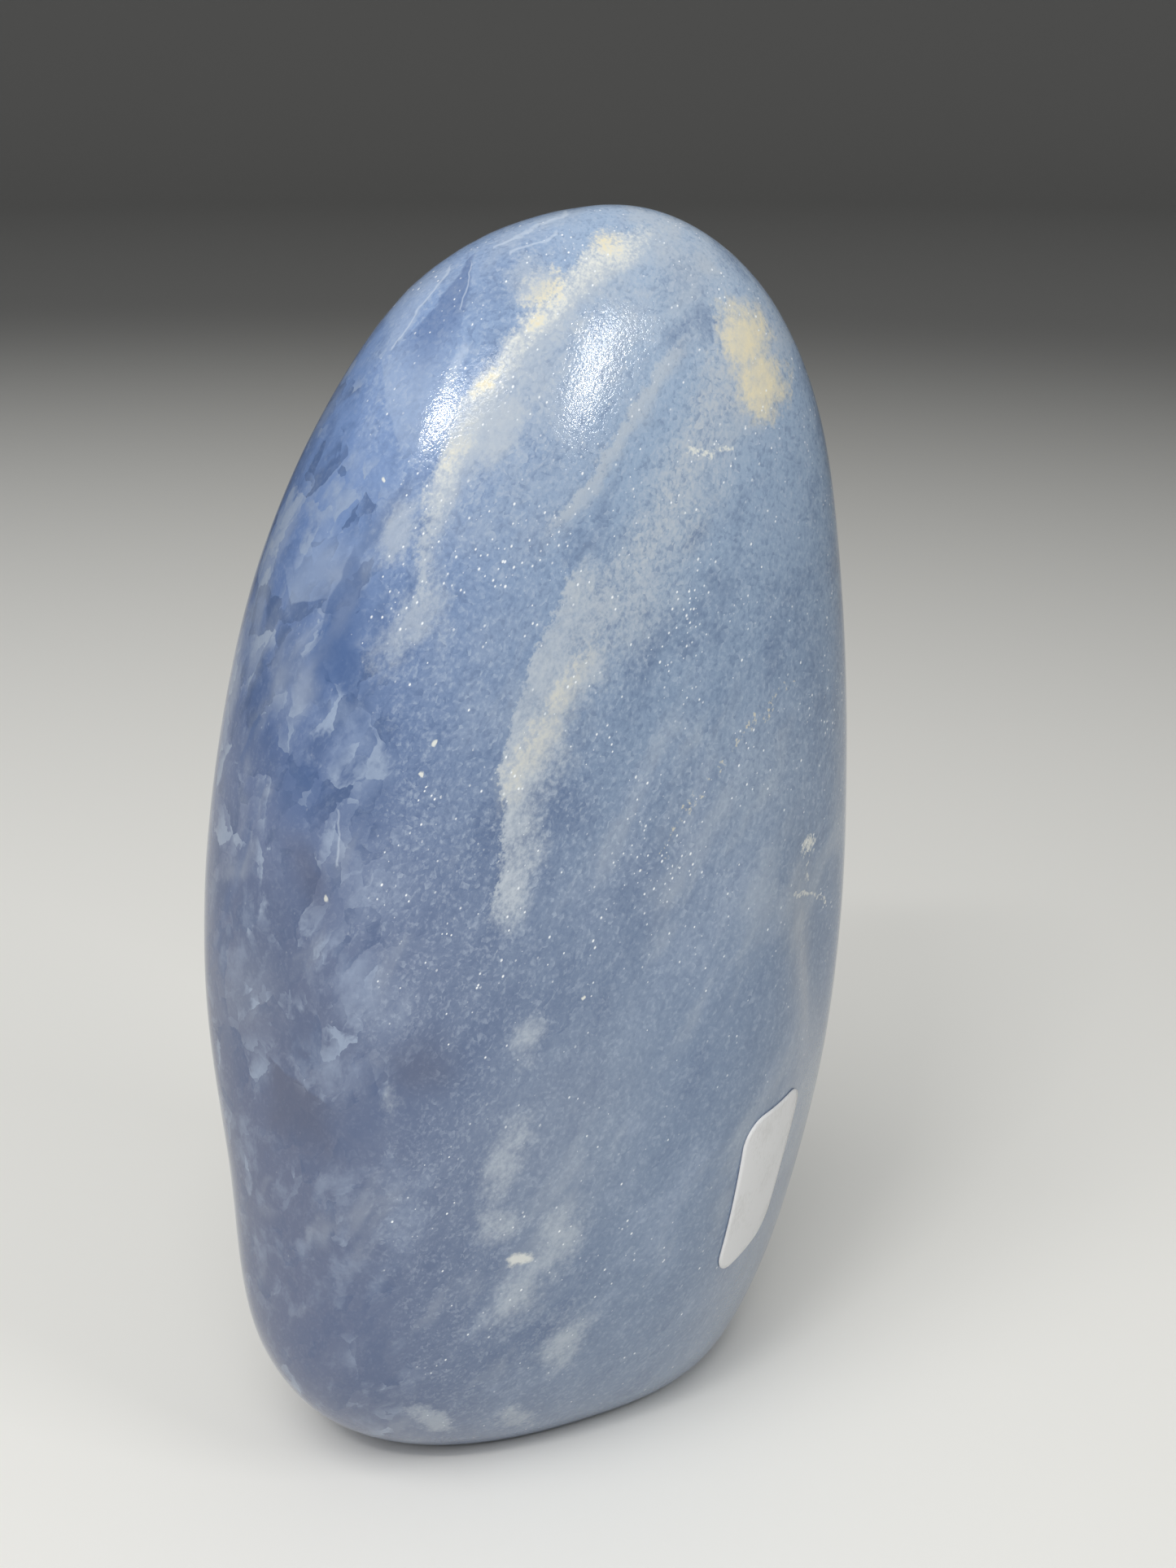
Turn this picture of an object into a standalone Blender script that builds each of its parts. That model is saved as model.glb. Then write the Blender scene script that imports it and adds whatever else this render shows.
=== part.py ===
"""Polished blue calcite freeform that stands on its sawn base, with a small paper label.

Metres, +Z up. The origin is in the middle of the object's box, on the surface it stands on.
The broad face looks along -Y and the stone leans a little towards +X.
"""
import math

import bmesh
import bpy
from mathutils import Matrix, Vector

# The pebble before it is sawn: a rounded body round a slightly leaning axis
HEIGHT = 0.102            # sawn base to crown
GIRTH_LEVEL = 0.046       # height of the level that the latitudes are counted from
ROOT_REACH = 0.0495       # how far the unsawn pebble reaches below that level
SECTION_POWER = 2.35      # 2 is an ellipse, more is a squarer section

# Stations up the body: latitude in degrees, then the middle of the section (x, y) and its
# reach to the side and to the front. The reach is drawn in by the cosine of the latitude.
STATIONS = (
    (-70, 0.0035, 0.0050, 0.0447, 0.0248),
    (-50, 0.0019, 0.0029, 0.0365, 0.0215),
    (-25, 0.0018, 0.0013, 0.0288, 0.0196),
    (0, 0.0010, 0.0003, 0.0268, 0.0182),
    (25, 0.0023, -0.0002, 0.0272, 0.0174),
    (50, 0.0047, -0.0006, 0.0295, 0.0172),
    (70, 0.0057, -0.0008, 0.0321, 0.0168),
    (90, 0.0074, -0.0008, 0.0319, 0.0160),
)

# Flats ground by hand: the way each one faces (azimuth from +X and elevation, in degrees),
# its distance from the axis at the girth level, and how softly its edge is rolled over
FLATS = (
    ("lower right of the front", -51.7, -14.5, 0.0248, 0.0015),
    ("lower left of the front", -160.5, -2.5, 0.0239, 0.0007),
)

# A shallow hollow that the grinding left in the right end of the front
HOLLOW_MIDDLE = Vector((0.0203, -0.0133, 0.0450))
HOLLOW_AZIMUTH = -56.0    # degrees, the way the hollow faces
HOLLOW_LEAN = 20.0        # degrees that its length leans away from upright
HOLLOW_HALF_LENGTH = 0.0090
HOLLOW_HALF_WIDTH = 0.0036
HOLLOW_DEPTH = 0.0013

BASE_BEVEL = 0.0006       # the rubbed edge round the sawn base
CUTS_PER_FACE = 25        # the body starts as a cube with this many cuts across each face

# The label lies on the lower right flat, with its length down the stone
LABEL_MIDDLE = Vector((0.0140, -0.0135, 0.0245))
LABEL_AZIMUTH = -57.0     # degrees, the way the label faces
LABEL_ELEVATION = -13.0
LABEL_TURN = 3.5          # degrees that its length is turned on the stone
LABEL_LENGTH = 0.0155
LABEL_WIDTH = 0.0090
LABEL_CORNER = 0.0024
LABEL_CELL = 0.0010       # it is divided this finely so that it follows the stone
LABEL_THICKNESS = 0.00015
LABEL_GAP = 0.0003

STONE_BLUE = (0.25, 0.34, 0.52, 1.0)
PAPER_WHITE = (0.86, 0.86, 0.87, 1.0)


def remove_everything():
    for thing in list(bpy.data.objects):
        bpy.data.objects.remove(thing, do_unlink=True)


def plain_material(name, colour, roughness):
    material = bpy.data.materials.new(name)
    material.use_nodes = True
    shader = material.node_tree.nodes["Principled BSDF"]
    shader.inputs["Base Color"].default_value = colour
    shader.inputs["Roughness"].default_value = roughness
    shader.inputs["Metallic"].default_value = 0.0
    return material


def part_object(name, body, material, collection):
    """A smooth-shaded object made from a bmesh, in the object's collection."""
    mesh = bpy.data.meshes.new(name)
    body.to_mesh(mesh)
    body.free()
    mesh.shade_smooth()
    mesh.set_sharp_from_angle(angle=math.radians(40))
    mesh.materials.append(material)
    part = bpy.data.objects.new(name, mesh)
    collection.objects.link(part)
    return part


def direction(azimuth, elevation):
    """Unit vector that faces an azimuth and an elevation, both in degrees."""
    turn = math.radians(azimuth)
    rise = math.radians(elevation)
    level = math.cos(rise)
    return Vector((math.cos(turn) * level, math.sin(turn) * level, math.sin(rise)))


def station_at(latitude):
    """Middle and reach of the section at a latitude, on a smooth curve through the stations."""
    last = len(STATIONS) - 1
    latitude = min(max(latitude, STATIONS[0][0]), STATIONS[last][0])
    low = 0
    while low < last - 1 and latitude > STATIONS[low + 1][0]:
        low += 1
    span = STATIONS[low + 1][0] - STATIONS[low][0]
    along = (latitude - STATIONS[low][0]) / span

    def slope(index, column):
        before = STATIONS[max(index - 1, 0)]
        after = STATIONS[min(index + 1, last)]
        return (after[column] - before[column]) / (after[0] - before[0])

    values = []
    for column in range(1, 5):
        leave = slope(low, column) * span
        arrive = slope(low + 1, column) * span
        share = 3 * along**2 - 2 * along**3
        values.append(
            STATIONS[low][column] * (1 - share) + STATIONS[low + 1][column] * share
            + leave * (along**3 - 2 * along**2 + along) + arrive * (along**3 - along**2)
        )
    return values


def pebble_point(latitude, turn):
    """Point of the rounded body at a latitude and a turn round the axis, both in radians."""
    side, front = math.cos(turn), math.sin(turn)
    middle_x, middle_y, side_reach, front_reach = station_at(math.degrees(latitude))
    fullness = (abs(side) ** SECTION_POWER + abs(front) ** SECTION_POWER) ** (-1 / SECTION_POWER)
    ring = math.cos(latitude) * fullness
    rise = HEIGHT - GIRTH_LEVEL if latitude > 0 else ROOT_REACH
    return Vector((
        middle_x + side_reach * ring * side,
        middle_y + front_reach * ring * front,
        GIRTH_LEVEL + rise * math.sin(latitude),
    ))


def latitude_and_turn(cube_point):
    """Where a point of an open-bottomed cube goes: the cube's lower edge is the saw cut."""
    spread = Vector([math.tan(c * math.pi / 4) for c in cube_point])
    turn = math.atan2(spread.y, spread.x)
    latitude = math.atan2(spread.z, math.hypot(spread.x, spread.y))
    edge_latitude = -math.atan(max(abs(math.cos(turn)), abs(math.sin(turn))))
    saw_latitude = -math.asin(GIRTH_LEVEL / ROOT_REACH)
    up_from_edge = (latitude - edge_latitude) / (math.pi / 2 - edge_latitude)
    return saw_latitude + up_from_edge * (math.pi / 2 - saw_latitude), turn


def grind_flat(point, facing, distance, softness):
    """Bring a point that stands proud of a flat down to it, with a rolled edge."""
    proud = (point - Vector((0, 0, GIRTH_LEVEL))).dot(facing) - distance
    return point - facing * softness * math.log1p(math.exp(proud / softness))


def press_hollow(point):
    """Sink the shallow hollow: a long soft dip that fades out at its rim."""
    outward = direction(HOLLOW_AZIMUTH, 0)
    offset = point - HOLLOW_MIDDLE
    if offset.dot(outward) < -HOLLOW_HALF_LENGTH:
        return point
    lean = math.radians(HOLLOW_LEAN)
    level = Vector((-outward.y, outward.x, 0))
    along = Vector((0, 0, math.cos(lean))) - level * math.sin(lean)
    across = outward.cross(along)
    from_middle = Vector((
        offset.dot(along) / HOLLOW_HALF_LENGTH,
        offset.dot(across) / HOLLOW_HALF_WIDTH,
    ))
    return point - outward * HOLLOW_DEPTH * math.exp(-from_middle.length_squared)


def stone_body():
    """The ground and polished body with its flat sawn base, as a bmesh."""
    body = bmesh.new()
    bmesh.ops.create_cube(body, size=2)
    bottom = min(body.faces, key=lambda face: face.calc_center_median().z)
    bmesh.ops.delete(body, geom=[bottom], context="FACES_ONLY")
    bmesh.ops.subdivide_edges(
        body, edges=body.edges[:], cuts=CUTS_PER_FACE, use_grid_fill=True,
    )
    for vertex in body.verts:
        point = pebble_point(*latitude_and_turn(vertex.co))
        for _, azimuth, elevation, distance, softness in FLATS:
            point = grind_flat(point, direction(azimuth, elevation), distance, softness)
        vertex.co = press_hollow(point)

    rim = [edge for edge in body.edges if edge.is_boundary]
    for vertex in {vertex for edge in rim for vertex in edge.verts}:
        vertex.co.z = 0
    bmesh.ops.contextual_create(body, geom=rim)
    bmesh.ops.bevel(
        body, geom=rim, offset=BASE_BEVEL, offset_type="OFFSET", segments=2, profile=0.5,
        affect="EDGES", material=-1,
    )
    bmesh.ops.recalc_face_normals(body, faces=body.faces[:])
    return body


def box_middle(body):
    """Middle of a body's box in x and y, at the level it stands on."""
    xs = [vertex.co.x for vertex in body.verts]
    ys = [vertex.co.y for vertex in body.verts]
    return Vector(((min(xs) + max(xs)) / 2, (min(ys) + max(ys)) / 2, 0))


def label_sheet():
    """A flat sheet with rounded corners, cut into small cells so that it can bend."""
    sheet = bmesh.new()
    bmesh.ops.create_grid(sheet, x_segments=1, y_segments=1, size=0.5)
    bmesh.ops.scale(sheet, verts=sheet.verts[:], vec=(LABEL_WIDTH, LABEL_LENGTH, 1))
    bmesh.ops.bevel(
        sheet, geom=sheet.verts[:], offset=LABEL_CORNER, offset_type="OFFSET", segments=5,
        profile=0.5, affect="VERTICES", material=-1,
    )
    for way, size in ((Vector((1, 0, 0)), LABEL_WIDTH), (Vector((0, 1, 0)), LABEL_LENGTH)):
        cells = round(size / LABEL_CELL)
        for cell in range(1, cells):
            bmesh.ops.bisect_plane(
                sheet, geom=sheet.verts[:] + sheet.edges[:] + sheet.faces[:], dist=LABEL_CELL / 5,
                plane_co=way * (cell / cells - 0.5) * size, plane_no=way, use_snap_center=True,
            )
    return sheet


def lay_label_on(label, stone):
    """Put the label in front of its place and let it bend onto the stone behind it."""
    facing = direction(LABEL_AZIMUTH, LABEL_ELEVATION)
    level = Vector((0, 0, 1)).cross(facing).normalized()
    turned = Matrix.Rotation(math.radians(LABEL_TURN), 4, "Z")
    axes = Matrix((level, facing.cross(level), facing)).transposed().to_4x4()
    label.matrix_world = Matrix.Translation(LABEL_MIDDLE + facing * LABEL_LENGTH) @ axes @ turned

    wrap = label.modifiers.new("Lie on the stone", "SHRINKWRAP")
    wrap.target = stone
    wrap.wrap_method = "PROJECT"
    wrap.wrap_mode = "ABOVE_SURFACE"
    wrap.use_project_z = True
    wrap.use_negative_direction = True
    wrap.use_positive_direction = False
    wrap.offset = LABEL_GAP
    paper = label.modifiers.new("Paper thickness", "SOLIDIFY")
    paper.thickness = LABEL_THICKNESS
    paper.offset = 1


remove_everything()
parts = bpy.data.collections.new("blue_calcite_freeform")
bpy.context.scene.collection.children.link(parts)

stone_bmesh = stone_body()
bmesh.ops.translate(stone_bmesh, verts=stone_bmesh.verts[:], vec=-box_middle(stone_bmesh))
blue_calcite = plain_material("polished_blue_calcite", STONE_BLUE, 0.2)
stone = part_object("stone", stone_bmesh, blue_calcite, parts)

white_paper = plain_material("white_label_paper", PAPER_WHITE, 0.6)
label = part_object("label", label_sheet(), white_paper, parts)
lay_label_on(label, stone)
label.parent = stone
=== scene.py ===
"""Polished blue calcite freeform with its small blank label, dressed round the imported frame.

Metres, +Z up. Sizes of the mesh are in millimetres times MM. The stone's patterns are placed in
plain millimetres along its beds.
"""

import math
from functools import reduce

import bmesh
import bpy
from mathutils import Matrix, Quaternion, Vector, noise
from mathutils.bvhtree import BVHTree


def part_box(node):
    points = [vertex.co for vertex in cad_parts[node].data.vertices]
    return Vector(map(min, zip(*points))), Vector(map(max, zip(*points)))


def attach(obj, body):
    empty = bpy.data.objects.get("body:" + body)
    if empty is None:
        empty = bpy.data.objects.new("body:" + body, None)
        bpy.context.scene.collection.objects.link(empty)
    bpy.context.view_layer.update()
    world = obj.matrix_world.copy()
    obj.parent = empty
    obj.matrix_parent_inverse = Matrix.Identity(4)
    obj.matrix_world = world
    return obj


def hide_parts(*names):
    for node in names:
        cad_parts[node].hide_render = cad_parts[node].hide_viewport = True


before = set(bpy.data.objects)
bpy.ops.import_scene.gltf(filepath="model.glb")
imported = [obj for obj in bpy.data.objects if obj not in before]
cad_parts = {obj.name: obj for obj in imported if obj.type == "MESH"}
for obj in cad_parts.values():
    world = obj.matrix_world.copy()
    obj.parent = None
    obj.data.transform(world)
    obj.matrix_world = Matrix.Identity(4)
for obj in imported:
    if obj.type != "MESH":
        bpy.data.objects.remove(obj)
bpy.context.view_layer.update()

# The stone is one piece of massive blue calcite. It was sawn flat below, then ground and
# polished by hand on a soft wheel, which leaves its faces faintly wavy and rubs every edge.
MM = 0.001
WHEEL_WAVES = ((13.0, 0.09), (5.5, 0.025))     # length and height of the waves, in mm
WAVES_FADE = 6 * MM                            # they die out this far above the sawn base
SAME_POINT = 0.01 * MM
JOIN_BEND = math.radians(40)                   # triangles that bend and skew less than this
JOIN_SKEW = math.radians(50)                   # are joined in pairs, so that they divide evenly
STONE_LEVELS = 2

stone_shape = bmesh.new()
stone_shape.from_mesh(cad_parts["stone"].data)
bmesh.ops.remove_doubles(stone_shape, verts=stone_shape.verts[:], dist=SAME_POINT)
sawn_faces = [
    face for face in stone_shape.faces if max(v.co.z for v in face.verts) < SAME_POINT
]
bmesh.ops.dissolve_faces(stone_shape, faces=sawn_faces)
bmesh.ops.join_triangles(
    stone_shape, faces=stone_shape.faces[:], angle_face_threshold=JOIN_BEND,
    angle_shape_threshold=JOIN_SKEW,
)
stone_shape.normal_update()
for vertex in stone_shape.verts:
    above_base = min(vertex.co.z / WAVES_FADE, 1.0)
    for length, height in WHEEL_WAVES:
        wave = noise.noise(vertex.co / (length * MM))
        vertex.co += vertex.normal * wave * height * MM * above_base

stone_mesh = bpy.data.meshes.new("stone_polished")
stone_shape.to_mesh(stone_mesh)
stone_shape.free()
stone_mesh.shade_smooth()
stone = bpy.data.objects.new("stone_polished", stone_mesh)
bpy.context.scene.collection.objects.link(stone)
finer = stone.modifiers.new("Finer", "SUBSURF")
finer.levels = STONE_LEVELS
finer.render_levels = STONE_LEVELS


class Shade:
    """A socket of a material, so that the stone's patterns can be written as sums."""

    def __init__(self, tree, socket=None):
        self.tree = tree
        self.socket = socket

    def node(self, kind, settings=None, inputs=None, output=0):
        """Adds a node: its settings come first, then the values and links of its inputs."""
        node = self.tree.nodes.new("ShaderNode" + kind)
        for name, value in (settings or {}).items():
            setattr(node, name, value)
        for name, value in (inputs or {}).items():
            if isinstance(value, Shade):
                self.tree.links.new(value.socket, node.inputs[name])
            else:
                node.inputs[name].default_value = value
        return Shade(self.tree, node.outputs[output])

    def places(self):
        """The places on the object itself, in metres."""
        return self.node("TexCoord", output=3)

    def beside(self, output):
        """Another output of the node that this one comes from."""
        return Shade(self.tree, self.socket.node.outputs[output])

    def math(self, operation, *values):
        return self.node("Math", {"operation": operation}, dict(enumerate(values)))

    def vector(self, operation, *values, output=0):
        return self.node("VectorMath", {"operation": operation}, dict(enumerate(values)), output)

    def __add__(self, other):
        return self.math("ADD", self, other)

    def __radd__(self, other):
        return self.math("ADD", other, self)

    def __sub__(self, other):
        return self.math("SUBTRACT", self, other)

    def __rsub__(self, other):
        return self.math("SUBTRACT", other, self)

    def __mul__(self, other):
        return self.math("MULTIPLY", self, other)

    def __rmul__(self, other):
        return self.math("MULTIPLY", other, self)

    def or_more(self, other):
        return self.math("MAXIMUM", self, other)

    def or_less(self, other):
        return self.math("MINIMUM", self, other)

    def rise(self, start, end):
        """Goes softly from 0 at start to 1 at end, which may be the lower of the two."""
        settings = {"interpolation_type": "SMOOTHSTEP"}
        limits = {"Value": self, "From Min": start, "From Max": end}
        return self.node("MapRange", settings, limits)

    def parts(self):
        """The three numbers of a vector."""
        first = self.node("SeparateXYZ", None, {0: self})
        return first, first.beside(1), first.beside(2)

    def between(self, first, second):
        """The blend of two colours at this share: the first at 0 and the second at 1."""
        return self.node("Mix", {"data_type": "RGBA"}, {0: self, 6: first, 7: second}, 2)

    def toward(self, colour, share):
        """This colour, moved towards another one by a share."""
        return share.between(self, colour)


def new_material(name, colour):
    """A Principled material, its shader node and a Shade that starts its patterns."""
    material = bpy.data.materials.new(name)
    material.use_nodes = True
    material.diffuse_color = colour
    shader = material.node_tree.nodes["Principled BSDF"]
    return material, shader, Shade(material.node_tree)


def drive(shader, patterns):
    """Links each named socket of a shader to the pattern that drives it."""
    for name, pattern in patterns.items():
        pattern.tree.links.new(pattern.socket, shader.inputs[name])


def stretched(place, stretch):
    """The same places, with a pattern's lumps drawn out where the stretch is below 1."""
    return place.vector("MULTIPLY", place, stretch)


def clouds(place, size, detail=3.0, rough=0.5, output=0):
    """Soft noise between 0 and 1 whose lumps are about this size, in the places' own unit."""
    return place.node("TexNoise", None, {
        "Vector": place, "Scale": 1 / size, "Detail": detail, "Roughness": rough,
    }, output)


def warped(place, size, amount, detail=2.0):
    """The same places, pushed about by soft noise."""
    push = clouds(place, size, detail, output=1)
    push = push.vector("SUBTRACT", push, (0.5, 0.5, 0.5))
    return place.vector("MULTIPLY_ADD", push, (amount, amount, amount), place)


FACE_SLOPE = 2.2       # how much a cleavage face's tone changes from one side to the other


def facets(place, size):
    """Tones round 0 that run across each cleavage face and step where two faces meet."""
    cell = place.node("TexVoronoi", None, {"Vector": place, "Scale": 1 / size})
    lot = cell.vector("SUBTRACT", cell.beside(1), (0.5, 0.5, 0.5))
    from_middle = place.vector("SUBTRACT", place, cell.beside(2))
    slope = from_middle.vector("DOT_PRODUCT", from_middle, lot, output=1)
    tone, _, _ = lot.parts()
    return tone + slope * (FACE_SLOPE / size)


def lenses(place, edge, *patches):
    """1 inside any of the lens-shaped patches, each a middle, a reach and a lean in degrees.
    The edge is the share of the reach over which a patch fades out."""
    found = []
    for middle, reach, lean in patches:
        local = place.node("Mapping", {"vector_type": "TEXTURE"}, {
            "Vector": place, "Location": middle, "Rotation": (0, math.radians(lean), 0),
            "Scale": reach,
        })
        found.append(local.vector("LENGTH", local, output=1).rise(1.0 + edge / 2, 1.0 - edge))
    return reduce(Shade.or_more, found)


PLATE_FADE = (36.0, 14.0)      # a plate fades between these squared distances from its depth


def plates(place, *outlines):
    """1 inside any of the flat-sided plates. Each has the depth that it lies at and its corners,
    anticlockwise: across, along and the softness of the edge that leaves the corner."""
    _, deep, _ = place.parts()
    found = []
    for depth, corners in outlines:
        from_depth = deep - depth
        plate = (from_depth * from_depth).rise(*PLATE_FADE)
        for here, there in zip(corners, corners[1:] + corners[:1]):
            edge = Vector((there[0] - here[0], 0, there[1] - here[1])).normalized()
            inward = Vector((-edge.z, 0, edge.x))
            level = inward.dot((here[0], 0, here[1]))
            inside = place.vector("DOT_PRODUCT", place, inward, output=1)
            plate = plate.or_less(inside.rise(level - here[2] / 2, level + here[2] / 2))
        found.append(plate)
    return reduce(Shade.or_more, found)


blue_calcite, stone_shader, start = new_material("polished_blue_calcite", (0.25, 0.34, 0.52, 1))
MIDDLE_HEIGHT = 51.0 * MM
CALCITE_IOR = 1.57
BEDS_TURN = math.radians(-28)     # the beds run across the stone on this bearing
BEDS_LEAN = math.radians(30)      # and lean this far from upright
bed = start.node("Mapping", {"vector_type": "TEXTURE"}, {
    "Vector": start.places(), "Location": (0, 0, MIDDLE_HEIGHT),
    "Rotation": (0, BEDS_LEAN, BEDS_TURN), "Scale": (MM, MM, MM),
})
wavy = warped(bed, 7.0, 2.0, 1.0)
ragged = warped(wavy, 1.3, 0.9)
frayed = warped(ragged, 0.5, 0.35, 1.0)
cracked = warped(bed, 2.2, 0.8, 2.0)
across, deep, along = bed.parts()
side = across * math.cos(BEDS_LEAN) + along * math.sin(BEDS_LEAN)
height = along * math.cos(BEDS_LEAN) - across * math.sin(BEDS_LEAN)

# Ground colour, darker to the left and paler to the top: its own tone, and at the top partly
# painted light from above
TOP_LEFT = (0.162, 0.276, 0.566, 1)
TOP_RIGHT = (0.362, 0.472, 0.622, 1)
LOW_LEFT = (0.106, 0.135, 0.240, 1)
LOW_RIGHT = (0.190, 0.260, 0.384, 1)
to_right = side.rise(-22.0, 12.0)
low_colour = to_right.between(LOW_LEFT, LOW_RIGHT)
top_colour = to_right.between(TOP_LEFT, TOP_RIGHT)
colour = low_colour.toward(top_colour, height.rise(-10.0, 54.0))

# Cloudiness along the beds, in broad drifts and in small mottles
DEEP_BLUE = (0.055, 0.098, 0.218, 1)
PALE_BLUE = (0.330, 0.405, 0.540, 1)
CLOUD = (0.490, 0.543, 0.605, 1)
PALE_GRAIN = (0.480, 0.555, 0.665, 1)
broad_clouds = clouds(stretched(wavy, (1.0, 0.7, 0.45)), 9.0, 3.0, 0.60)
mottles = clouds(stretched(ragged, (1.0, 0.8, 0.6)), 2.6, 4.0, 0.62)
glassy = (side + (broad_clouds - 0.5) * 18).rise(-7.5, -12.5)
off_middle = height.rise(4.0, 28.0) * 0.36 + height.rise(-4.0, -26.0) * 0.26
drift = broad_clouds + (mottles - 0.5) * (0.32 + glassy * 0.45 + off_middle)
colour = colour.toward(DEEP_BLUE, drift.rise(0.50, 0.26) * 0.36)
colour = colour.toward(PALE_BLUE, drift.rise(0.50, 0.76) * 0.45)

colour = colour.toward(CLOUD, 0.17 * lenses(
    wavy, 0.95,
    ((10.0, -18.5, -12.0), (7.0, 9.0, 11.0), 0),
    ((-15.8, -14.3, -16.0), (3.5, 6.0, 6.0), 0),
    ((9.7, -9.9, 17.5), (5.0, 8.0, 7.0), 0),
))
colour = colour.toward(DEEP_BLUE, 0.26 * lenses(
    wavy, 0.95,
    ((5.8, -15.6, 8.0), (5.0, 9.0, 9.0), 0),
    ((-5.5, -17.5, 9.0), (3.0, 9.0, 7.0), 0),
    ((-24.8, -8.0, 39.2), (2.8, 6.0, 5.0), 15),
    ((-13.0, -3.2, 45.4), (2.4, 5.0, 2.8), 0),
))

# Cleavage faces that show through the glassy left flank
flank = stretched(frayed, (1.0, 0.7, 0.5))
faces = facets(flank, 3.0) + facets(flank, 1.2) * 0.5
clearness = 0.15 + glassy * (0.30 + height.rise(-22.0, 12.0) * 0.55)
faces = faces * clearness * mottles.rise(0.34, 0.54)
colour = colour.toward(PALE_BLUE, faces.rise(0.04, 0.70) * 0.75)
colour = colour.toward(DEEP_BLUE, faces.rise(-0.04, -0.70) * 0.60)

# Sugar grain: small crystals of different tones, with crumbs between them
sugar = clouds(stretched(bed, (1.2, 1.0, 0.6)), 1.0, 3.0, 0.6)
crumbs = clouds(stretched(bed, (1.0, 1.0, 0.7)), 0.30, 2.0, 0.7)
flakes = crumbs + (sugar - 0.5) * 0.5
grainy = (1 - glassy * 0.75) * (0.62 + height.rise(-12.0, 14.0) * 0.38)
crystals = facets(stretched(ragged, (1.2, 1.0, 0.8)), 0.42) * 0.38 + (flakes - 0.5) * 1.6
colour = colour.toward(PALE_GRAIN, crystals.rise(-0.10, 0.62) * grainy * 0.44)
colour = colour.toward(DEEP_BLUE, crystals.rise(0.0, -0.60) * grainy * 0.30)

# Wisps along the beds
wisps = clouds(stretched(ragged, (1.0, 0.5, 0.28)), 6.0, 3.0, 0.62).rise(0.54, 0.72)
colour = colour.toward(CLOUD, wisps * 0.35)

frayed_across, _, _ = frayed.parts()
edge_across = frayed_across + (mottles - 0.5) * 1.8 + (flakes - 0.5) * 0.9


def seam(bow_at, across_at, bow, low_end, high_end, left, right, spread=2.0):
    """A bed of another colour: 1 on its bowed line, gone at its reach to the left and right."""
    from_bow = along - bow_at
    off = edge_across - (from_bow * from_bow * bow + across_at)
    low_fade = along.rise(low_end - spread, low_end + spread)
    high_fade = along.rise(high_end + spread, high_end - spread)
    return off.rise(-left, 0.0) * off.rise(right, 0.0) * low_fade * high_fade


def crumbled(near, start_at=0.62, end_at=0.74):
    """Solid where something is near, and broken into crumbs towards its edge."""
    return (flakes + near * 0.36).rise(start_at, end_at) * near.rise(0.0, 0.25)


def broken(soft, start_at=0.15, end_at=1.05):
    """A softly ending shape, made ragged by the mottles and the grain."""
    ragged_soft = soft + (mottles - 0.5) * 2.0 + (flakes - 0.5) * 0.8
    return ragged_soft.rise(start_at, end_at) * soft.rise(0.0, 0.25)


CREAM = (0.800, 0.722, 0.510, 1)
VEIN_WHITE = (0.780, 0.790, 0.740, 1)
wide_seam = seam(36.0, -7.0, 0.004, 24.0, 47.0, 3.0, 5.5, 5.0)
thin_seam = seam(27.0, -12.9, 0.0085, 26.5, 42.0, 0.7, 1.6, 2.5)
main_line = along.rise(18.5, 0.0) * 6.2 - 9.7
main_width = 3.8 + along.rise(3.0, 14.0) * 2.6
main_seam = seam(0.0, main_line, 0.0, 1.5, 25.0, 0.8, main_width, 3.0)
main_core = seam(15.0, -7.0, 0.003, 9.5, 20.5, 1.3, 1.7, 3.0)
colour = colour.toward(CLOUD, wide_seam * (0.20 + crystals.rise(-0.50, 0.60) * 0.90))
colour = colour.toward(CLOUD, thin_seam * (0.35 + crumbled(thin_seam) * 0.35))
band_grain = 0.32 + flakes.rise(0.22, 0.78) * 0.44 + mottles.rise(0.38, 0.62) * 0.30
colour = colour.toward(CLOUD, broken(main_seam, -0.05, 0.95) * band_grain)
colour = colour.toward(VEIN_WHITE, main_core * 0.20)
colour = colour.toward(CREAM, crumbled(main_core, 0.50, 1.15) * 0.32)
vein_haze = seam(31.0, -21.6, 0.0205, 26.0, 50.0, 1.4, 11.0, 5.0)
vein = seam(31.0, -22.2, 0.0205, 24.0, 46.5, 1.6, 2.1, 2.5)
vein_trail = seam(31.0, -22.1, 0.0205, 18.0, 27.0, 1.4, 2.6, 3.5)
vein_tail = along.rise(33.0, 30.0)
knots = lenses(
    ragged, 0.8,
    ((-18.9, -3.9, 45.1), (1.2, 3.0, 1.3), 50),
    ((-21.9, -8.1, 40.2), (1.5, 3.0, 2.2), 40),
    ((-21.4, -9.6, 38.0), (0.6, 3.0, 1.2), 20),
    ((-22.4, -12.4, 33.0), (0.6, 3.0, 1.6), 20),
    ((-21.9, -14.2, 28.6), (1.0, 3.0, 2.2), 0),
)
upper_vein = along.rise(35.0, 42.0)
near_vein = vein * (0.55 + upper_vein * 0.22) + knots * 0.66
haze_grain = 0.04 + mottles.rise(0.30, 0.66) * 0.52 + crystals.rise(-0.50, 0.60) * 0.36
colour = colour.toward(CLOUD, vein_haze * haze_grain)
colour = colour.toward(CLOUD, vein_trail * (0.30 + crumbled(vein_trail, 0.60, 0.96) * 0.50))
colour = colour.toward(CLOUD, near_vein.rise(0.0, 0.55) * 0.70)
colour = colour.toward(VEIN_WHITE, crumbled(near_vein, 0.50, 1.06) * (0.98 - vein_tail * 0.38))
colour = colour.toward(CREAM, crumbled(knots, 0.56, 1.14) * (0.94 - vein_tail * 0.46))

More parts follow.
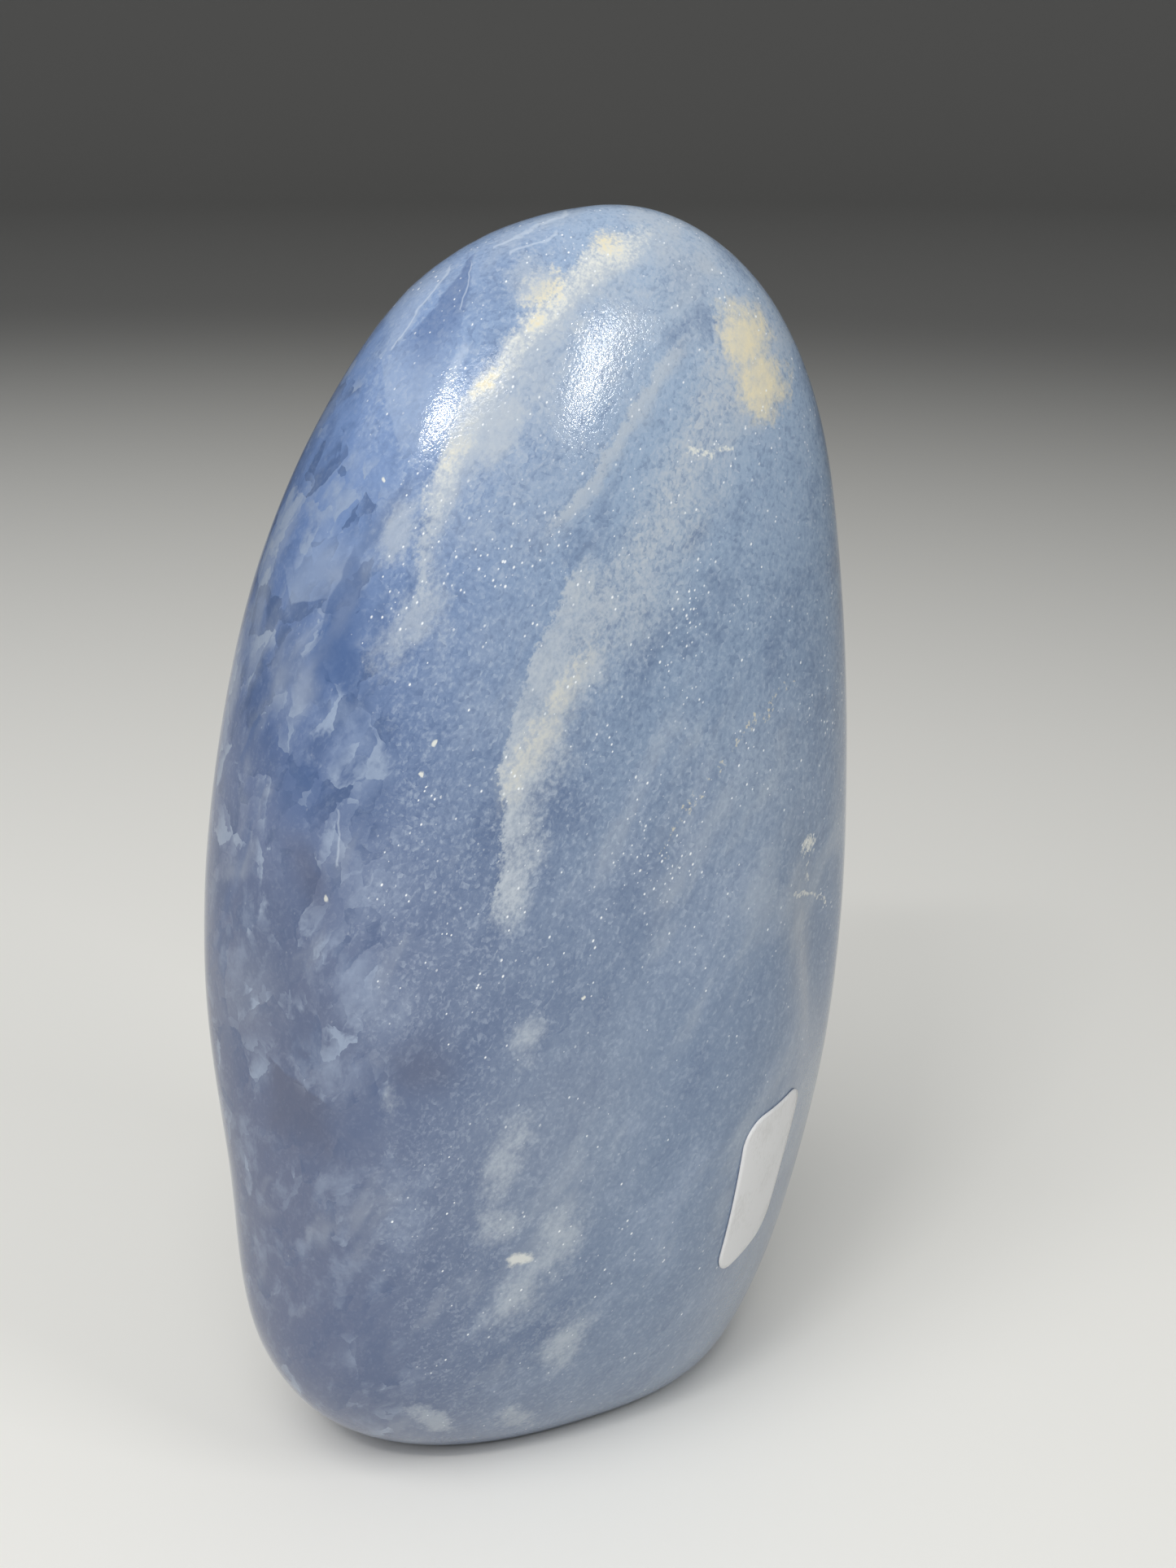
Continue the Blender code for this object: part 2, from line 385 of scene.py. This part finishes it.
# Cream and white patches
colour = colour.toward(CLOUD, 0.58 * broken(lenses(
    ragged, 0.9,
    ((-23.2, -8.0, 40.3), (2.0, 3.0, 2.6), 0),
    ((-20.2, -13.8, 30.2), (2.2, 3.0, 3.2), 20),
    ((-22.5, -15.8, 21.5), (2.2, 3.0, 2.6), 20),
    ((-18.9, -17.9, 16.6), (2.2, 3.0, 5.0), 10),
    ((-5.5, -11.5, 21.5), (3.4, 5.0, 6.5), 10),
    ((-6.4, -2.6, 42.6), (4.6, 5.0, 5.6), 0),
    ((-11.9, -1.6, 47.2), (1.4, 3.0, 0.8), 10),
    ((-17.4, 0.4, 47.9), (3.0, 3.0, 1.8), 0),
    ((14.6, -14.8, -41.4), (3.0, 3.0, 1.9), 30),
    ((21.4, -11.9, -39.4), (2.8, 3.0, 1.9), 25),
)))
colour = colour.toward(CLOUD, 0.80 * broken(lenses(
    ragged, 0.98,
    ((3.4, -20.2, -5.2), (1.7, 3.0, 3.0), -10),
    ((-3.0, -21.7, -14.6), (1.0, 2.5, 2.2), -10),
    ((7.0, -20.2, -15.4), (2.2, 3.0, 4.8), -15),
    ((9.4, -19.7, -20.4), (2.4, 3.0, 3.0), -20),
    ((14.4, -18.0, -20.8), (2.6, 3.0, 4.8), -10),
    ((13.8, -18.2, -26.6), (3.0, 3.0, 4.2), -10),
    ((19.8, -15.1, -29.6), (3.0, 3.0, 5.0), -10),
), 0.20, 1.70))
colour = colour.toward(CREAM, (0.34 + sugar * 0.90) * broken(lenses(
    ragged, 0.90,
    ((-6.9, -1.9, 43.6), (3.5, 4.5, 3.0), -15),
    ((-4.5, -2.2, 42.2), (3.3, 4.5, 3.6), -20),
)))
colour = colour.toward(VEIN_WHITE, 0.80 * broken(lenses(
    ragged, 0.7,
    ((12.4, -18.8, -22.9), (0.70, 2.0, 1.15), 35),
), 0.10, 0.95))
cream_specks = lenses(ragged, 0.9, ((17.3, -5.2, 13.7), (1.0, 1.5, 1.0), 0))
colour = colour.toward(VEIN_WHITE, crumbled(cream_specks, 0.60, 0.86) * 0.85)
colour = colour.toward(VEIN_WHITE, 0.95 * lenses(
    frayed, 0.4,
    ((-14.8, -20.0, -3.9), (0.15, 1.5, 0.32), -30),
    ((-13.4, -20.0, 8.5), (0.15, 1.5, 0.21), -10),
    ((-13.6, -19.7, 10.7), (0.15, 1.5, 0.26), -30),
    ((-25.2, -14.6, 24.0), (0.13, 1.5, 0.18), 0),
    ((5.7, -18.5, -1.2), (0.13, 1.5, 0.22), 60),
))
yellow_specks = seam(5.0, 5.2, 0.010, 8.0, 25.0, 1.6, 1.6)
colour = colour.toward(CREAM, crumbled(yellow_specks, 0.92, 1.06) * 0.6)

# Clear dark shards, smoky violet places and pale plates of the healed flank
CLEAR_BLUE = (0.075, 0.135, 0.300, 1)
SMOKE_VIOLET = (0.075, 0.082, 0.140, 1)
PLATE_PALE = (0.400, 0.490, 0.650, 1)
colour = colour.toward(SMOKE_VIOLET, 0.38 * lenses(
    ragged, 0.95,
    ((-16.3, -19.6, -3.0), (1.3, 3.0, 3.0), -40),
    ((-2.4, -20.8, -10.8), (2.6, 4.0, 3.0), 0),
))
colour = colour.toward(CLEAR_BLUE, 0.50 * lenses(
    ragged, 0.6,
    ((-21.8, -17.8, 11.6), (2.0, 4.0, 2.2), 0),
    ((-19.6, -18.3, 2.0), (2.2, 4.0, 3.0), -25),
))
colour = colour.toward(SMOKE_VIOLET, 0.40 * plates(
    cracked,
    (-17.5, ((-6.8, -18.1, 0.4), (-11.5, -18.7, 2.0), (-9.0, -24.5, 5.0), (-5.0, -21.5, 3.0))),
))
colour = colour.toward(CLEAR_BLUE, 0.55 * plates(
    cracked,
    (-8.5, ((-27.1, 39.6, 0.15), (-28.3, 32.8, 3.5), (-26.2, 30.5, 2.5), (-25.7, 35.8, 0.3))),
    (-16.5, ((-24.9, 19.2, 0.15), (-24.0, 12.0, 3.0), (-20.5, 10.5, 2.5), (-22.3, 16.8, 0.8))),
    (-14.5, ((-24.9, 4.6, 0.1), (-24.6, 0.4, 0.2), (-24.2, 0.4, 0.4), (-24.5, 4.5, 0.2))),
    (-15.5, ((-21.6, -2.0, 1.5), (-20.4, -9.6, 1.0), (-19.2, -14.4, 1.0), (-20.9, -5.0, 0.3))),
))
colour = colour.toward(PLATE_PALE, 0.40 * plates(
    cracked,
    (-6.5, ((-28.2, 38.4, 1.5), (-31.2, 34.0, 1.5), (-29.2, 31.0, 0.6), (-28.5, 33.0, 0.2))),
    (-12.0, ((-29.2, 30.4, 0.2), (-27.6, 28.2, 0.2), (-25.0, 26.2, 3.0), (-22.0, 29.5, 5.0),
             (-26.0, 33.0, 4.0))),
    (-14.0, ((-27.9, 14.0, 0.2), (-26.6, 12.9, 0.2), (-25.0, 14.5, 2.5), (-25.0, 19.0, 3.5),
             (-27.2, 18.0, 2.0))),
))
colour = colour.toward(PLATE_PALE, mottles.rise(0.40, 0.62) * 0.26 * plates(
    cracked,
    (-18.5, ((-17.5, 9.8, 0.3), (-20.3, 10.4, 0.3), (-21.9, 8.4, 0.6), (-21.0, 3.5, 5.0),
             (-16.0, 5.0, 4.0))),
    (-19.5, ((-10.0, -5.0, 0.5), (-15.3, -6.5, 0.3), (-12.4, -10.2, 4.0), (-8.6, -8.4, 4.0))),
    (-15.0, ((-20.3, -3.6, 0.3), (-19.9, -9.5, 0.3), (-18.6, -15.6, 2.0), (-15.5, -16.0, 4.0),
             (-17.4, -3.5, 4.0))),
    (-17.5, ((-11.7, -18.6, 0.4), (-6.6, -18.0, 2.0), (-6.0, -13.0, 4.0), (-11.0, -13.0, 4.0))),
))

# Fine white lines of the healed cracks, and scratches
CRACK_WHITE = (0.640, 0.720, 0.820, 1)
colour = colour.toward(CRACK_WHITE, 0.45 * plates(
    cracked,
    (-6.5, ((-28.2, 38.0, 0.1), (-29.1, 31.4, 0.1), (-29.0, 31.3, 0.1), (-28.1, 37.9, 0.1))),
    (-8.0, ((-26.95, 39.0, 0.1), (-26.3, 36.2, 0.1), (-26.2, 36.2, 0.1), (-26.85, 39.0, 0.1))),
    (-4.5, ((-26.2, 40.6, 0.1), (-22.7, 45.1, 0.2), (-22.8, 45.2, 0.1), (-26.3, 40.7, 0.1))),
    (-5.5, ((-25.0, 41.0, 0.1), (-22.6, 43.8, 0.2), (-22.7, 43.9, 0.1), (-25.1, 41.1, 0.1))),
    (-20.0, ((-17.0, 2.9, 0.2), (-14.9, -0.9, 0.2), (-14.8, -0.8, 0.2), (-16.9, 2.9, 0.2))),
))
scratches = plates(
    frayed,
    (-3.0, ((18.0, 9.9, 0.2), (22.6, 8.4, 0.2), (22.5, 8.9, 0.2), (18.0, 10.4, 0.2))),
    (-4.5, ((17.6, 12.9, 0.2), (18.8, 10.6, 0.2), (19.1, 10.7, 0.2), (17.9, 12.9, 0.2))),
    (-8.5, ((-7.3, 35.2, 0.2), (-5.0, 35.9, 0.2), (-5.1, 36.4, 0.2), (-7.3, 35.7, 0.2))),
    (-7.5, ((-5.2, 36.0, 0.2), (-3.6, 36.9, 0.2), (-3.9, 37.3, 0.2), (-5.3, 36.5, 0.2))),
)
colour = colour.toward(VEIN_WHITE, crumbled(scratches, 0.74, 1.06) * 0.9)
colour = colour.toward(CRACK_WHITE, 0.35 * plates(
    cracked,
    (-12.0, ((-24.7, 30.9, 0.8), (-24.1, 30.9, 0.6), (-24.3, 34.5, 0.8), (-24.9, 34.4, 0.6))),
))

# Painted glints: near-white specks in the colour that stand in for grains catching the light
PAINTED_GLINT = (0.900, 0.930, 0.960, 1)


def painted_glints(spacing, size, share):
    """Painted glints of up to this size: a share of the cells of a scatter holds one."""
    grit = stretched(bed, (1.3, 1.0, 0.8))
    grain = grit.node("TexVoronoi", None, {"Vector": grit, "Scale": 1 / spacing})
    lot, own_size, _ = grain.beside(1).parts()
    reach = (own_size + 0.35) * (size / spacing)
    return grain.rise(reach, 0.0).rise(0.0, 0.7) * (lot + share).rise(1.0, 1.2)


# Where the painted glints gather: in swarms, a few everywhere, and more in the grainy mottles
glint_swarms = lenses(
    wavy, 0.95,
    ((-19.1, -17.4, 19.6), (2.8, 4.0, 6.8), 10),
    ((-16.3, -16.6, 23.1), (3.4, 4.0, 3.4), 0),
    ((-12.3, -14.9, 26.4), (2.2, 4.0, 2.6), 0),
    ((-1.5, -12.3, 24.5), (1.8, 4.0, 5.4), 0),
    ((5.2, -15.5, 9.4), (3.6, 4.0, 3.6), 0),
)
glint_share = 0.05 + grainy.rise(0.30, 0.95) * (0.08 + mottles.rise(0.47, 0.60) * 0.40)
glint_share = glint_share + glint_swarms * 0.75
colour = colour.toward(PAINTED_GLINT, painted_glints(0.42, 0.125, glint_share))

stone_shader.inputs["IOR"].default_value = CALCITE_IOR
gloss = 0.06 + grainy * 0.05 + main_seam * 0.06
relief = crumbs * (0.005 + side.rise(-14.0, -4.0) * 0.018)
bump = start.node("Bump", None, {"Strength": 1.0, "Distance": MM, "Height": relief})
drive(stone_shader, {"Base Color": colour, "Roughness": gloss, "Normal": bump})
stone_mesh.materials.append(blue_calcite)

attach(stone, "root")
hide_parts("stone")

# The label is a small blank piece of white coated paper, cut with rounded corners. Its own glue
# holds it to the lower right flat, and it bends to follow the stone under it.
LABEL_WIDTH = 9.0 * MM
LABEL_LENGTH = 15.5 * MM
LABEL_CORNER = 2.4 * MM
LABEL_CELLS = (18, 31)               # across its width and down its length
LABEL_AZIMUTH = math.radians(-57)    # the way it faces
LABEL_ELEVATION = math.radians(-13)
LABEL_TURN = math.radians(3.5)       # how far its length is turned on the stone
LABEL_LIFT = 0.05 * MM               # the glue under it
LABEL_START = 5 * MM                 # it is brought onto the stone from this far out
PAPER_THICKNESS = 0.10 * MM

sheet = bmesh.new()
bmesh.ops.create_grid(
    sheet, x_segments=LABEL_CELLS[0], y_segments=LABEL_CELLS[1], size=0.5,
)
bmesh.ops.scale(sheet, verts=sheet.verts[:], vec=(LABEL_WIDTH, LABEL_LENGTH, 1))
for vertex in sheet.verts:
    beyond = Vector((
        max(abs(vertex.co.x) - (LABEL_WIDTH / 2 - LABEL_CORNER), 0),
        max(abs(vertex.co.y) - (LABEL_LENGTH / 2 - LABEL_CORNER), 0),
    ))
    if beyond.x > 0 and beyond.y > 0:
        drawn_in = beyond * (max(beyond) / beyond.length - 1)
        vertex.co.x += math.copysign(1, vertex.co.x) * drawn_in.x
        vertex.co.y += math.copysign(1, vertex.co.y) * drawn_in.y
label_low, label_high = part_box("label")
facing = Vector((
    math.cos(LABEL_AZIMUTH) * math.cos(LABEL_ELEVATION),
    math.sin(LABEL_AZIMUTH) * math.cos(LABEL_ELEVATION),
    math.sin(LABEL_ELEVATION),
))
level = Vector((0, 0, 1)).cross(facing).normalized()
axes = Matrix((level, facing.cross(level), facing)).transposed().to_4x4()
laid_from = (Vector(label_low) + Vector(label_high)) / 2 + facing * LABEL_START
onto_stone = Matrix.Translation(laid_from) @ axes @ Matrix.Rotation(LABEL_TURN, 4, "Z")
bmesh.ops.transform(sheet, matrix=onto_stone, verts=sheet.verts[:])
bpy.context.view_layer.update()
surface = BVHTree.FromObject(stone, bpy.context.evaluated_depsgraph_get())
for vertex in sheet.verts:
    hit, normal, _, _ = surface.ray_cast(vertex.co, -facing)
    vertex.co = hit + normal * LABEL_LIFT
label_mesh = bpy.data.meshes.new("label_paper")
sheet.to_mesh(label_mesh)
sheet.free()
label_mesh.shade_smooth()
label = bpy.data.objects.new("label_paper", label_mesh)
bpy.context.scene.collection.objects.link(label)
thick = label.modifiers.new("Thickness", "SOLIDIFY")
thick.thickness = PAPER_THICKNESS
thick.offset = 1
white_paper, paper_shader, paper_start = new_material("white_label_paper", (0.85, 0.85, 0.86, 1))
paper = paper_start.places()
fibres = clouds(stretched(paper, (1.0, 1.0, 0.4)), 0.25 * MM, 3.0, 0.6)
handled = clouds(paper, 4.0 * MM, 2.0)
PAPER_WHITE = (0.825, 0.828, 0.838, 1)
PAPER_SHADE = (0.740, 0.742, 0.745, 1)
paper_tone = (fibres + handled - 0.5).rise(0.55, 0.20).between(PAPER_WHITE, PAPER_SHADE)
drive(paper_shader, {"Base Color": paper_tone, "Roughness": 0.42 + fibres * 0.16})
label_mesh.materials.append(white_paper)

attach(label, "root")
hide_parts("label")

# The floor is a plain pale table top that turns up into a round wall far away. Its colour holds a
# painted pool of light: it is nearly white beside the stone and greys with distance, as the light
# would fall off, to the grey of the wall.
FLOOR_REACH = 1.6
WALL_HEIGHT = 1.2
WALL_CURVE = 0.5
CURVE_STEPS = 8
ROUND_STEPS = 96
floor_shape = bmesh.new()
profile = [Vector((0, 0, 0)), Vector((FLOOR_REACH, 0, 0))]
for step in range(1, CURVE_STEPS + 1):
    turn = math.radians(90 * step / CURVE_STEPS)
    profile.append(Vector((
        FLOOR_REACH + WALL_CURVE * math.sin(turn), 0, WALL_CURVE * (1 - math.cos(turn)),
    )))
profile.append(Vector((FLOOR_REACH + WALL_CURVE, 0, WALL_HEIGHT)))
ring = [floor_shape.verts.new(point) for point in profile]
for inner, outer in zip(ring, ring[1:]):
    floor_shape.edges.new((inner, outer))
bmesh.ops.spin(
    floor_shape, geom=floor_shape.verts[:] + floor_shape.edges[:], axis=(0, 0, 1), cent=(0, 0, 0),
    angle=math.tau, steps=ROUND_STEPS, use_merge=True,
)
bmesh.ops.remove_doubles(floor_shape, verts=floor_shape.verts[:], dist=0.1 * MM)
bmesh.ops.recalc_face_normals(floor_shape, faces=floor_shape.faces[:])
floor_mesh = bpy.data.meshes.new("floor")
floor_shape.to_mesh(floor_mesh)
floor_shape.free()
floor_mesh.shade_smooth()
floor = bpy.data.objects.new("floor", floor_mesh)
bpy.context.scene.collection.objects.link(floor)
PALE_TOP = (0.935, 0.918, 0.868, 1)
WALL_GREY = (0.190, 0.186, 0.178, 1)
pale, pale_shader, pale_start = new_material("pale_floor", PALE_TOP)
# The middle of the painted pool of light, and the distances over which it fades to grey
LIGHT_POOL_MIDDLE = (-0.17, 0.03, 0)
PALE_END, GREY_START = 0.10, 0.95      # distances from there
off_light_pool = pale_start.vector("DISTANCE", pale_start.places(), LIGHT_POOL_MIDDLE, output=1)
floor_tone_and_painted_light = off_light_pool.rise(PALE_END, GREY_START).between(PALE_TOP, WALL_GREY)
drive(pale_shader, {"Base Color": floor_tone_and_painted_light})
pale_shader.inputs["Roughness"].default_value = 0.6
floor_mesh.materials.append(pale)

# Soft studio light: a pale surround, a broad key lamp that the polish doesn't mirror, and three
# small softboxes that the polished crown mirrors as its highlights.
SURROUND = (0.95, 0.98, 1.0, 1)
SURROUND_STRENGTH = 0.40
world = bpy.data.worlds.new("studio")
world.use_nodes = True
world.node_tree.nodes["Background"].inputs["Color"].default_value = SURROUND
world.node_tree.nodes["Background"].inputs["Strength"].default_value = SURROUND_STRENGTH
bpy.context.scene.world = world
STONE_MIDDLE = Vector((0, 0, MIDDLE_HEIGHT))


def softbox(name, azimuth, elevation, distance, width, height, power, roll=0.0, mirrored=True):
    """A rectangular lamp that faces the middle of the stone, placed by its angles in degrees."""
    lamp = bpy.data.lights.new(name, "AREA")
    lamp.shape = "RECTANGLE"
    lamp.size = width
    lamp.size_y = height
    lamp.energy = power
    box = bpy.data.objects.new(name, lamp)
    turn, rise = math.radians(azimuth), math.radians(elevation)
    way = Vector((math.cos(turn) * math.cos(rise), math.sin(turn) * math.cos(rise), math.sin(rise)))
    box.rotation_mode = "QUATERNION"
    rolled = Quaternion((0, 0, 1), math.radians(roll))
    box.rotation_quaternion = way.to_track_quat("Z", "Y") @ rolled
    box.location = STONE_MIDDLE + way * distance
    box.visible_glossy = mirrored
    bpy.context.scene.collection.objects.link(box)


softbox("window", -138, 44, 0.60, width=0.11, height=0.022, power=0.46, roll=13)
softbox("window_side", -118, 47, 0.60, width=0.24, height=0.03, power=0.16, roll=13)
softbox("lamp", -66, 39, 0.60, width=0.026, height=0.20, power=0.52, roll=-42)
softbox("key", -138, 48, 1.30, width=1.0, height=1.0, power=10.9, mirrored=False)

# The camera stands at the front left of the broad face and looks down a little.
CAMERA_BEARING = math.radians(28)
CAMERA_PITCH = math.radians(18.6)
CAMERA_AIM = Vector((-1.19, -0.63, 57.5)) * MM     # it looks at this place, and is then
CAMERA_SHIFT = 5.2 * MM                            # moved this far to its right
CAMERA_DISTANCE = 173 * MM
camera_data = bpy.data.cameras.new("camera")
camera_data.lens = 50
camera_data.sensor_width = 36
camera = bpy.data.objects.new("camera", camera_data)
back = Vector((
    -math.sin(CAMERA_BEARING) * math.cos(CAMERA_PITCH),
    -math.cos(CAMERA_BEARING) * math.cos(CAMERA_PITCH),
    math.sin(CAMERA_PITCH),
))
rightward = Vector((math.cos(CAMERA_BEARING), -math.sin(CAMERA_BEARING), 0))
camera.location = CAMERA_AIM + rightward * CAMERA_SHIFT + back * CAMERA_DISTANCE
camera.rotation_mode = "QUATERNION"
camera.rotation_quaternion = (-back).to_track_quat("-Z", "Y")
bpy.context.scene.collection.objects.link(camera)
bpy.context.scene.camera = camera
bpy.context.scene.view_settings.view_transform = "Standard"
